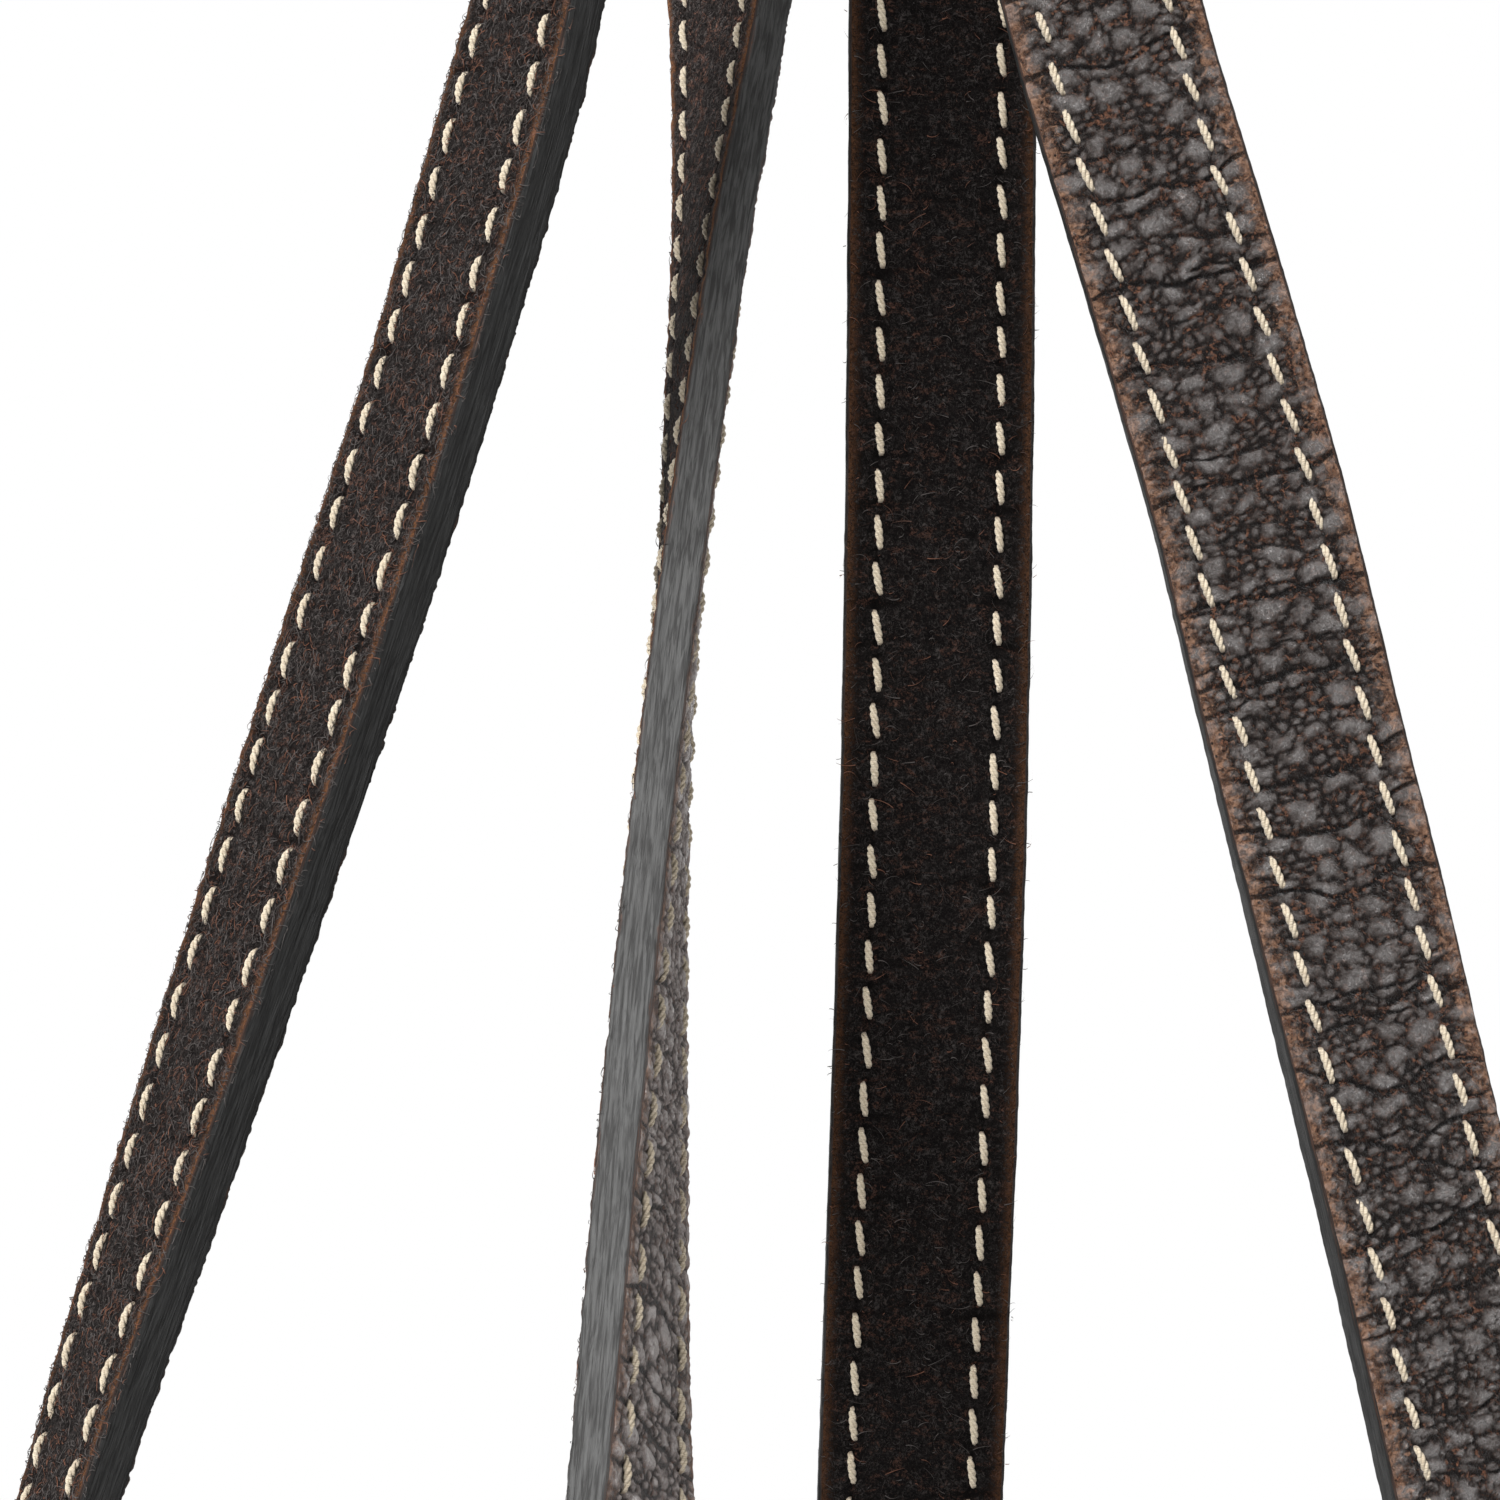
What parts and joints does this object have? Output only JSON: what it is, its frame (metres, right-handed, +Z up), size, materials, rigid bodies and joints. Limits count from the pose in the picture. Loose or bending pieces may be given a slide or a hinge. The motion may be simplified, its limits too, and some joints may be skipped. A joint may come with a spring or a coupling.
{
  "type": "leather reins",
  "caption": "Pair of stitched two-ply leather reins hung doubled over a peg, buckled together at the centre, with hook stud billets for the bit rings.",
  "frame": {"origin": "underside of the two folds, where they rest on top of the peg, midway between the reins", "axes": "+Z up; the peg runs along X; -Y is the front, where the two bit strands hang; the centre loop hangs at +Y"},
  "size_m": [0.1597, 0.1355, 0.8112],
  "materials": {
    "leather_grain_side": "dark brown, pebbled and creased grain with a dull sheen",
    "leather_flesh_side": "dark brown, matte and fibrous",
    "linen_thread": "waxed cream twisted thread",
    "stainless_steel": "polished"
  },
  "bodies": {
    "folds": {"left_fold_grain_stitching": "linen_thread", "left_fold_lining_ply": "leather_flesh_side", "left_fold_outer_ply": "leather_grain_side", "right_fold_grain_stitching": "linen_thread", "right_fold_lining_ply": "leather_flesh_side", "right_fold_outer_ply": "leather_grain_side"},
    "left_bit_strand": {"left_bit_strand_flesh_stitching": "linen_thread", "left_bit_strand_grain_stitching": "linen_thread", "left_bit_strand_lining_ply": "leather_flesh_side", "left_bit_strand_outer_ply": "leather_grain_side"},
    "left_bit_end": {"left_bit_end_flesh_stitching": "linen_thread", "left_bit_end_grain_stitching": "linen_thread", "left_bit_end_lining_ply": "leather_flesh_side", "left_bit_end_outer_ply": "leather_grain_side", "left_billet": "leather_grain_side", "left_billet_fixed_keeper": "leather_grain_side", "left_hook_stud": "stainless_steel"},
    "left_billet_keeper": {"left_billet_running_keeper": "leather_grain_side"},
    "right_bit_strand": {"right_bit_strand_flesh_stitching": "linen_thread", "right_bit_strand_grain_stitching": "linen_thread", "right_bit_strand_lining_ply": "leather_flesh_side", "right_bit_strand_outer_ply": "leather_grain_side"},
    "right_bit_end": {"right_bit_end_flesh_stitching": "linen_thread", "right_bit_end_grain_stitching": "linen_thread", "right_bit_end_lining_ply": "leather_flesh_side", "right_bit_end_outer_ply": "leather_grain_side", "right_billet": "leather_grain_side", "right_billet_fixed_keeper": "leather_grain_side", "right_hook_stud": "stainless_steel"},
    "right_billet_keeper": {"right_billet_running_keeper": "leather_grain_side"},
    "centre_loop": {"left_hand_strand_flesh_stitching": "linen_thread", "left_hand_strand_grain_stitching": "linen_thread", "left_hand_strand_lining_ply": "leather_flesh_side", "left_hand_strand_outer_ply": "leather_grain_side", "right_hand_strand_flesh_stitching": "linen_thread", "right_hand_strand_grain_stitching": "linen_thread", "right_hand_strand_lining_ply": "leather_flesh_side", "right_hand_strand_outer_ply": "leather_grain_side", "buckle_chape": "leather_flesh_side", "buckle_fixed_keeper": "leather_grain_side", "left_rein_point": "leather_grain_side"},
    "buckle_frame": {"buckle_frame": "stainless_steel"},
    "buckle_tongue": {"buckle_tongue": "stainless_steel"},
    "buckle_keeper": {"buckle_running_keeper": "leather_grain_side"}
  },
  "joints": [
    {"name": "left_bit_strand_swing", "type": "hinge", "parent": "folds", "child": "left_bit_strand", "pos_m": [-0.0095, -0.0118, -0.0106], "axis": [1, 0, 0], "range_deg": [-15, 3]},
    {"name": "left_bit_end_bend", "type": "hinge", "parent": "left_bit_strand", "child": "left_bit_end", "pos_m": [-0.07574, -0.02099, -0.33], "axis": [0.005, 0.9918, 0.128], "range_deg": [-12, 25]},
    {"name": "left_billet_keeper_slide", "type": "slide", "parent": "left_bit_end", "child": "left_billet_keeper", "axis": [0, 0, 1], "range_m": [-0.002, 0.018]},
    {"name": "right_bit_strand_swing", "type": "hinge", "parent": "folds", "child": "right_bit_strand", "pos_m": [0.0095, -0.0118, -0.0106], "axis": [1, 0, 0], "range_deg": [-15, 3]},
    {"name": "right_bit_end_bend", "type": "hinge", "parent": "right_bit_strand", "child": "right_bit_end", "pos_m": [0.06262, -0.014, -0.33], "axis": [1, 0, 0], "range_deg": [-25, 25]},
    {"name": "right_billet_keeper_slide", "type": "slide", "parent": "right_bit_end", "child": "right_billet_keeper", "axis": [0, 0, 1], "range_m": [-0.002, 0.018]},
    {"name": "centre_loop_swing", "type": "hinge", "parent": "folds", "child": "centre_loop", "pos_m": [0, 0.0118, -0.0106], "axis": [1, 0, 0], "range_deg": [-2, 15]},
    {"name": "buckle_frame_turn", "type": "hinge", "parent": "centre_loop", "child": "buckle_frame", "pos_m": [0.0066, 0.0564, -0.412], "axis": [1, 0, 0], "range_deg": [0, 6]},
    {"name": "buckle_tongue_turn", "type": "hinge", "parent": "buckle_frame", "child": "buckle_tongue", "pos_m": [0.0066, 0.0564, -0.412], "axis": [1, 0, 0], "range_deg": [0, 8]},
    {"name": "buckle_keeper_slide", "type": "slide", "parent": "centre_loop", "child": "buckle_keeper", "axis": [0, 0, 1], "range_m": [-0.009, 0.003]}
  ]
}
